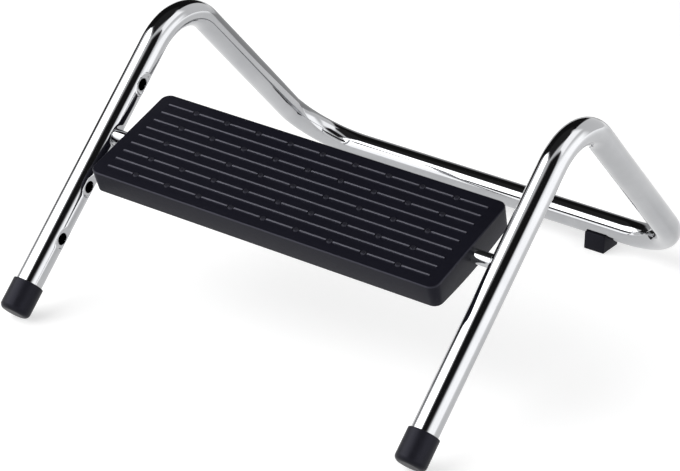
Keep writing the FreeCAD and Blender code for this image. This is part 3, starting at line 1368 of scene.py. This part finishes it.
        # Stations from an end inwards, each with its share of the full height.
        stations = [(-length / 2 + part * self.ridge_slope, share)
                    for part, share in self.ridge_ends]
        stations += [(-x, share) for x, share in reversed(stations)]
        rings = [[Vector((x, y, z if z < 0 else z * share)) + UP * self.top for y, z in section]
                 for x, share in stations]
        return skinned("ridge", rings, crease=self.ridge_crease)

    def stud(self) -> Mesh:
        """Low round stud with a sloping side and a soft crest.

        Returns:
            A closed mesh over the origin, at the height of the top.
        """
        foot, crest = self.stud_diameter / 2, self.stud_crest / 2
        corners = [(0, self.stud_height), (crest, self.stud_height), (foot, 0),
                   (foot, -self.root), (0, -self.root)]
        outline = rounded(corners, [0, self.stud_round, 0, 0, 0], self.tread_steps)
        return turned("stud", outline, UP * self.top, UP, self.stud_segments)

    def tread(self, recipe: Recipe) -> list[Value]:
        """Nodes that lay out whole ridges, and between them dashes with studs in their gaps.

        Args:
            recipe: the tree.

        Returns:
            The ridges, dashes and studs.
        """
        net = recipe.net
        rows = (self.row_count + 1) // 2
        reach = 2 * self.row_pitch * (rows - 1)
        pitch, = recipe.given(self, "stud_pitch")
        middle = recipe.vector("Tread middle", Vector((0, -self.behind_middle, 0)))
        whole = self.ridge(self.stud_pitch * (self.stud_count + 1) - self.stud_gap)
        dash = self.ridge(self.stud_pitch - self.stud_gap)
        first = Vector((0, self.row_pitch - reach / 2 - self.behind_middle, 0))
        lines = recipe.row("Whole ridge", rows - 1, first, Vector((0, 2 * self.row_pitch, 0)))
        laid = [recipe.placed(lines, recipe.mesh("Ridge", whole))]
        for name, piece, count in (("Dash", dash, self.stud_count + 1),
                                   ("Stud", self.stud(), self.stud_count)):
            grid = net.value("MeshGrid", {
                "Size X": pitch * float(count - 1), "Size Y": reach,
                "Vertices X": recipe.number(name + " count", count), "Vertices Y": rows})
            moved = net.value("Transform", {"Geometry": grid, "Translation": middle})
            laid.append(recipe.placed(moved, recipe.mesh(name, piece)))
        return laid

    def rubbed_faces(self, recipe: Recipe) -> tuple[Value, Value]:
        """Nodes that choose where highlights are painted: ridge crests, more faintly studs and the
        top's edge.

        Args:
            recipe: the tree, while the platform still lies in its own coordinates.

        Returns:
            1 on the crests of ridges, which get a painted highlight, and 1 on studs and on the
            rounded edge, which get a fainter one.
        """
        net = recipe.net
        x, y, z = net.parts(net.value("InputPosition"))
        crest = net.math("GREATER_THAN", z, self.top + self.rubbed_share * self.ridge_height)
        raised = net.math("GREATER_THAN", z, self.top + self.above_top)
        row = net.math("ROUND", (y + self.behind_middle) / self.row_pitch)
        parity = net.math("MODULO", net.math("ABSOLUTE", row), 2.0)
        broken_row = net.math("LESS_THAN", parity, 0.5)
        nearest_stud = net.math("ROUND", x / self.stud_pitch) * self.stud_pitch
        off_stud = net.math("ABSOLUTE", x - nearest_stud)
        in_gap = broken_row * net.math("LESS_THAN", off_stud, self.stud_gap / 2)
        lower = net.math("LESS_THAN", z, self.top - self.below_top)
        on_edge = lower * net.math("GREATER_THAN", z, self.top - self.edge_round)
        return crest * (1.0 - in_gap), net.math("MAXIMUM", raised * in_gap, on_edge)

    def stiffening(self, recipe: Recipe) -> list[Value]:
        """Nodes that lay out the cross webs and the two long ribs.

        Args:
            recipe: the tree.

        Returns:
            The webs and the long ribs.
        """
        spacing = self.width / (self.web_count + 1)
        line = recipe.row("Web", self.web_count, ACROSS * (spacing - self.width / 2),
                          ACROSS * spacing)
        webs = recipe.placed(line, recipe.mesh("Web", self.web()))
        ceiling = self.top - self.top_thickness / 2
        low = self.top - self.skirt + self.long_rib_rise
        length = self.width - self.wall - 2 * self.draft * self.skirt
        size = recipe.vector("Long rib", Vector((length, self.rib_thickness, ceiling - low)))
        bar = recipe.net.value("MeshCube", {"Size": size})
        first = Vector((0, -self.long_rib_offset - self.behind_middle, (ceiling + low) / 2))
        places = recipe.row("Rib", 2, first, Vector((0, 2 * self.long_rib_offset, 0)))
        return [webs, recipe.placed(places, bar)]

    def hub(self, side: Side) -> Mesh:
        """Round boss inside an end wall, round the axle.

        Args:
            side: left or right end wall.

        Returns:
            A closed mesh.
        """
        inner_face = self.width / 2 - self.draft * self.top - self.hub_length
        buried = self.width / 2 - self.draft * (self.top + self.skirt) - self.wall / 2
        radius = self.hub_diameter / 2
        corners = [(0, inner_face), (radius, inner_face), (radius, buried), (0, buried)]
        return turned("hub", rounded(corners, [0, self.hub_round, 0, 0]), Vector(),
                      ACROSS * side.value, self.segments)

    def bore(self) -> Mesh:
        """What the axle's bore takes out of the hubs, end walls and webs.

        Returns:
            A closed mesh.
        """
        reach = self.width / 2 + self.bore_overrun
        corners = [(0, -reach), (self.bore_radius, -reach), (self.bore_radius, reach), (0, reach)]
        return turned("bore", corners, Vector(), ACROSS, self.segments)

    def build(self) -> None:
        """Make the platform and dress it."""
        recipe = Recipe("moulded_platform")
        hubs = [recipe.mesh(f"Hub {side.word}", self.hub(side)) for side in Side]
        stiff = self.stiffening(recipe) + hubs
        solid = recipe.combined(Combine.UNION, recipe.source, stiff)
        solid = recipe.combined(Combine.DIFFERENCE, solid, [recipe.mesh("Bore", self.bore())])
        solid = recipe.combined(Combine.UNION, solid, self.tread(recipe))
        solid = recipe.net.value("SetMaterial", {"Geometry": solid, "Material": self.material})
        # Painted highlights: lighter colours on the ridge crests and, fainter, on the studs and the
        # top's edge.
        crest_highlights, faint_highlights = self.rubbed_faces(recipe)
        solid = recipe.dressed(solid, crest_highlights, "Rubbed finish", self.rubbed_material)
        solid = recipe.dressed(solid, faint_highlights, "Worn finish", self.worn_material)
        placed = recipe.net.value("Transform", {
            "Geometry": solid, "Rotation": (self.tilt, 0.0, 0.0),
            "Translation": recipe.vector("Axle", self.leg.axle)})
        mesh = recipe.run(placed, self.crease, self.material, self.tray())
        add_piece("ribbed_platform", mesh, self.material, Body.PLATFORM, "tread_platform")


@dataclass(frozen=True)
class Card:
    """Flat panel of the studio, by its direction from the object, in degrees and metres.

    Its brightness is what a reflection of it shows, and its feather is how far from its edges it
    starts to fade out.
    """

    name: str
    bearing: float
    elevation: float
    distance: float
    width: float
    height: float
    brightness: float = 0.0
    feather: float = 0.0

    def placed(self, centre: Vector) -> Matrix:
        """Where the panel stands, with its -Z towards the object.

        Args:
            centre: what the panel faces.

        Returns:
            The panel's matrix.
        """
        turn, rise = math.radians(self.bearing), math.radians(self.elevation)
        away = Vector((math.sin(turn) * math.cos(rise), math.cos(turn) * math.cos(rise),
                       math.sin(rise)))
        return aimed(centre + away * self.distance, away)


@dataclass
class Studio:
    """Pale floor, soft lamps, the camera, and cards for the chrome's black and white bands."""

    centre: Vector
    floor_size: float = 16.0
    floor_grey: float = 0.62
    floor_roughness: float = 0.9
    speckle: tuple = (0.985, 1.015)
    speckle_scale: float = 90.0
    floor_lift: float = 0.6
    ambient: float = 0.25
    floor_glow: float = 0.95
    floor_glow_start: float = 0.2
    floor_glow_end: float = 1.5
    far_glow: float = 0.5
    far_glow_start: float = 0.9
    far_glow_end: float = 3.0
    softbox_radiance: float = 3.6
    side_radiance: float = 2.9
    softbox: Card = Card("front_softbox", -135.0, 38.0, 2.4, 3.2, 1.7)
    side_box: Card = Card("side_softbox", 92.0, 20.0, 2.4, 1.7, 1.5)
    cards: tuple = (Card("back_card", -48.0, 38.0, 2.2, 3.2, 3.0, 0.012, 0.2),
                    Card("high_card", 137.0, 50.0, 2.2, 2.5, 1.7, 0.015, 0.45),
                    Card("overhead_card", -60.0, 76.0, 2.1, 2.6, 2.2, 0.03, 0.4),
                    Card("left_card", -74.0, 5.0, 1.2, 0.95, 0.55, 0.02, 0.1),
                    Card("rear_card", -18.0, -8.0, 0.6, 0.6, 0.42, 0.44, 0.1),
                    Card("side_glow", 90.0, 0.0, 1.3, 3.2, 2.17, 2.15, 0.65),
                    Card("upper_glow", 62.0, 56.0, 2.3, 2.3, 1.8, 2.0, 0.5),
                    Card("front_glow", -150.0, 6.0, 2.2, 2.6, 1.3, 2.2, 0.3))
    camera_place: Vector = Vector((1284.7, -1853.5, 1196.4)) * MM
    camera_bearing: float = math.radians(35.15)
    camera_drop: float = math.radians(26.72)
    camera_roll: float = math.radians(1.25)
    focal_pixels: float = 2777.6
    photo_width: float = 680.0

    @staticmethod
    def seen_directly(net: Net) -> Value:
        """1 for camera, glossy and transmission rays, else 0.

        Args:
            net: the tree that asks.

        Returns:
            That 1 or 0.
        """
        path = net.node("LightPath")
        camera, glossy, through = (Value(net, path.outputs[f"Is {ray} Ray"])
                                   for ray in ("Camera", "Glossy", "Transmission"))
        return net.math("MAXIMUM", net.math("MAXIMUM", camera, glossy), through)

    def add_world(self) -> None:
        """White to the eye and in reflections, plain soft grey as a light."""
        world = bpy.data.worlds.new("studio")
        bpy.context.scene.world = world
        world.use_nodes = True
        net = Net(world.node_tree)
        strength = self.ambient + self.seen_directly(net) * (1.0 - self.ambient)
        net.fill(net.tree.nodes["Background"], {"Color": WHITE, "Strength": strength})

    def add_floor(self) -> None:
        """Pale floor that keeps a soft shadow and lets a camera below it see through."""
        surface = Surface("pale_floor")
        net, place = surface.net, surface.net.place()
        low, high = (self.floor_grey * share for share in self.speckle)
        tint = net.blend(net.noise(place, self.speckle_scale), (low, low, low, 1.0),
                         (high, high, high, 1.0))
        net.fill(surface.shader, {"Base Color": tint, "Roughness": self.floor_roughness,
                                  "Specular IOR Level": 0.0})
        distance = net.value("VectorMath", {0: place}, "Value", operation="LENGTH")
        beside = net.eased(net.parts(place)[0], self.floor_glow_start, self.floor_glow_end,
                           0.0, self.floor_glow)
        far = net.eased(distance, self.far_glow_start, self.far_glow_end, 0.0, self.far_glow)
        strength = self.seen_directly(net) * (self.floor_lift + net.math("MAXIMUM", beside, far))
        glow = net.value("Emission", {"Strength": strength})
        lit = net.value("AddShader", {0: Value(net, surface.shader.outputs[0]), 1: glow})
        under = net.value("NewGeometry", output="Backfacing")
        clear = net.value("BsdfTransparent")
        whole = net.value("MixShader", {0: under, 1: lit, 2: clear})
        self.add_panel("floor", Matrix.Identity(4), self.floor_size, self.floor_size,
                       surface.replaced(whole))

    def add_panel(self, name: str, place: Matrix, width: float, height: float,
                  material: Material) -> Object:
        """Add a flat rectangle to the stage.

        Args:
            name: its name.
            place: its matrix.
            width: its width along its own X.
            height: its height along its own Y.
            material: its finish.

        Returns:
            The rectangle.
        """
        mesh = bpy.data.meshes.new(name)
        shares = ((0.0, 0.0), (1.0, 0.0), (1.0, 1.0), (0.0, 1.0))
        corners = [Vector(((across - 0.5) * width, (up - 0.5) * height, 0))
                   for across, up in shares]
        mesh.from_pydata([place @ corner for corner in corners], [], [(0, 1, 2, 3)])
        mesh.uv_layers.new(name="panel").data.foreach_set("uv", sum(shares, ()))
        mesh.materials.append(material)
        panel = linked(name, mesh)
        return panel

    @staticmethod
    def card_material(card: Card) -> Material:
        """Even brightness that fades out towards the card's edges.

        Args:
            card: its brightness and feather.

        Returns:
            The material.
        """
        surface = Surface(card.name)
        net = surface.net
        across, up, _ = net.parts(net.place("UV"))
        inset = net.math("MINIMUM", net.math("MINIMUM", across, 1.0 - across) * card.width,
                         net.math("MINIMUM", up, 1.0 - up) * card.height)
        fade = net.eased(inset, 0.0, card.feather, 0.0, 1.0)
        clear = net.value("BsdfTransparent")
        glow = net.value("Emission", {"Strength": card.brightness})
        return surface.replaced(net.value("MixShader", {0: fade, 1: clear, 2: glow}))

    def add_cards(self) -> None:
        """Dark and bright cards, which only the object's reflections see."""
        for card in self.cards:
            panel = self.add_panel(card.name, card.placed(self.centre), card.width, card.height,
                                   self.card_material(card))
            panel.visible_camera = False
            panel.visible_diffuse = False
            panel.visible_shadow = False

    def add_lamp(self, card: Card, radiance: float, reflected: bool) -> None:
        """Add a rectangular softbox.

        Args:
            card: where it stands and its size.
            radiance: brightness of its face, where 1 is white.
            reflected: whether reflections show its sharp outline; else a card stands in for it.
        """
        lamp = bpy.data.lights.new(card.name, "AREA")
        lamp.shape = "RECTANGLE"
        lamp.size, lamp.size_y = card.width, card.height
        lamp.energy = radiance * math.pi * card.width * card.height
        holder = linked(card.name, lamp)
        holder.matrix_world = card.placed(self.centre)
        holder.visible_camera = False
        holder.visible_glossy = reflected

    def add_camera(self) -> None:
        """Camera at the photograph's place, angle and lens."""
        bearing, drop, roll = self.camera_bearing, self.camera_drop, self.camera_roll
        ahead = Vector((-math.sin(bearing) * math.cos(drop), math.cos(bearing) * math.cos(drop),
                        -math.sin(drop)))
        level = Vector((math.cos(bearing), math.sin(bearing), 0))
        upright = level.cross(ahead)
        right = level * math.cos(roll) + upright * math.sin(roll)
        up = upright * math.cos(roll) - level * math.sin(roll)
        data = bpy.data.cameras.new("camera")
        data.sensor_fit = "HORIZONTAL"
        data.lens = data.sensor_width * self.focal_pixels / self.photo_width
        camera = linked("camera", data)
        turn = Matrix((right, up, -ahead)).transposed().to_4x4()
        camera.matrix_world = Matrix.Translation(self.camera_place) @ turn
        bpy.context.scene.camera = camera

    def build(self) -> None:
        """Set the whole stage."""
        self.add_world()
        self.add_floor()
        self.add_cards()
        self.add_lamp(self.softbox, self.softbox_radiance, True)
        self.add_lamp(self.side_box, self.side_radiance, False)
        self.add_camera()
        bpy.context.scene.view_settings.view_transform = "Standard"


def main() -> None:
    """Build the footrest piece by piece, then the studio."""
    logging.basicConfig(level=logging.INFO, format="%(name)s: %(message)s")
    finishes = make_finishes()
    leg = LegLine(axle=Vector(frame["joints"][0]["pos_m"]))
    tube = TubeFrame(leg, finishes.tube)
    tube.build()
    FootCaps(leg, finishes.cap).build()
    RearGlides(tube, finishes.glide, finishes.screw).build()
    Axle(leg, finishes.rod, finishes.ring).build()
    TreadPlatform(leg, finishes.platform, finishes.ridges, finishes.edges).build()
    low, high = CAD_BOX
    Studio(centre=(low + high) / 2).build()


if __name__ == "__main__":
    main()
